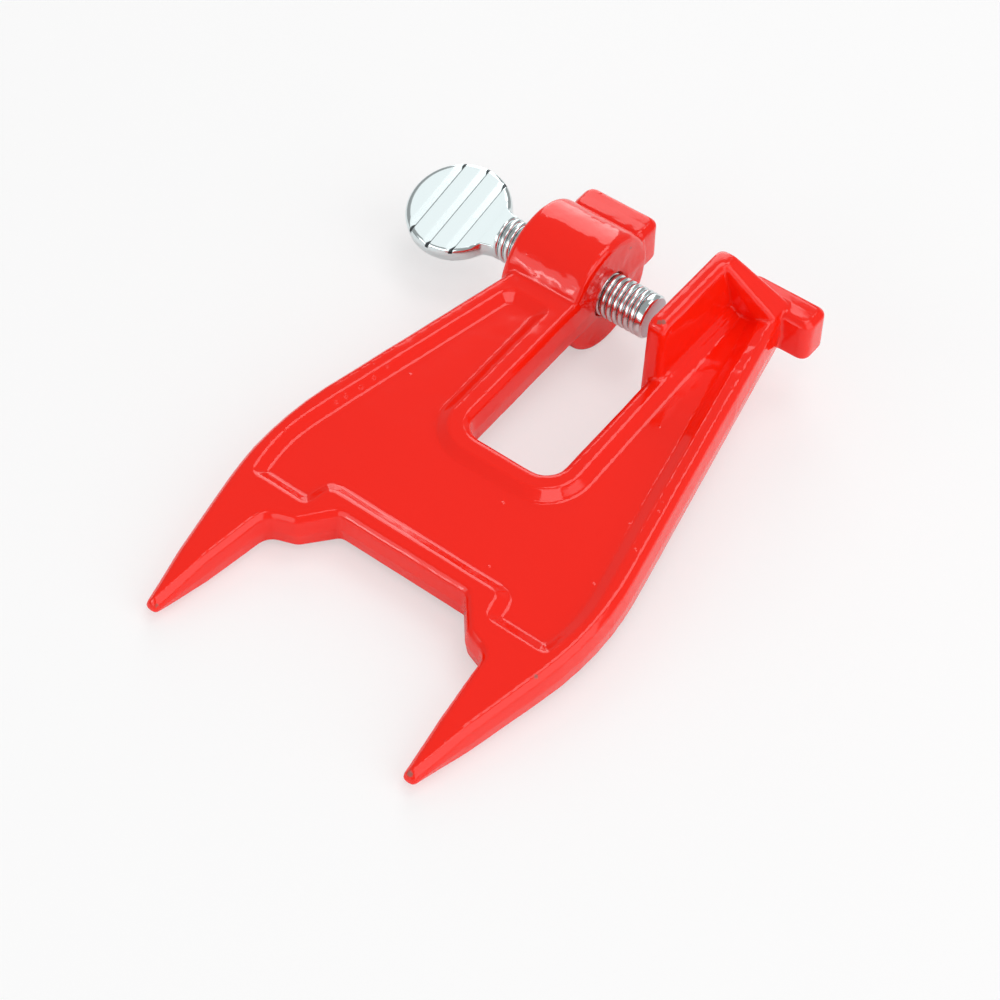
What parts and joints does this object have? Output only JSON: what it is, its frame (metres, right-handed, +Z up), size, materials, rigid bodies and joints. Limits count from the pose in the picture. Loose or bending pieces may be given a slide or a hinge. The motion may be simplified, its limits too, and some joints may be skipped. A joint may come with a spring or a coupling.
{
  "type": "chainsaw bar vise",
  "caption": "Cast vise that is driven into a stump by two spikes and grips a saw bar between a fixed jaw and a thumb screw.",
  "frame": {"origin": "centre of the outer box, at its base, where the part stands on a plate", "axes": "+X along the screw from its thumb plate to the jaw, +Y from the spikes to the striking lugs, +Z up"},
  "size_m": [0.122, 0.1634, 0.0406],
  "materials": {
    "red_enamel": "glossy stoved enamel over a sand casting",
    "zinc_plate": "bright zinc plate"
  },
  "bodies": {
    "vise": {"vise_body": "red_enamel"},
    "screw_feed_carrier": {"screw_point": "zinc_plate"},
    "screw": {"thumb_screw": "zinc_plate"}
  },
  "joints": [
    {"name": "screw_feed", "type": "slide", "parent": "vise", "child": "screw_feed_carrier", "axis": [1, 0, 0], "range_m": [-0.01295, 0.0098]},
    {"name": "screw_turn", "type": "hinge", "parent": "screw_feed_carrier", "child": "screw", "pos_m": [-0.04724, 0.05896, 0.016], "axis": [1, 0, 0], "range_deg": [-2664.5, 2016.5]}
  ],
  "couplings": [
    {"joint": "screw_turn", "follows": "screw_feed", "rad_per_m": 3590.4}
  ]
}
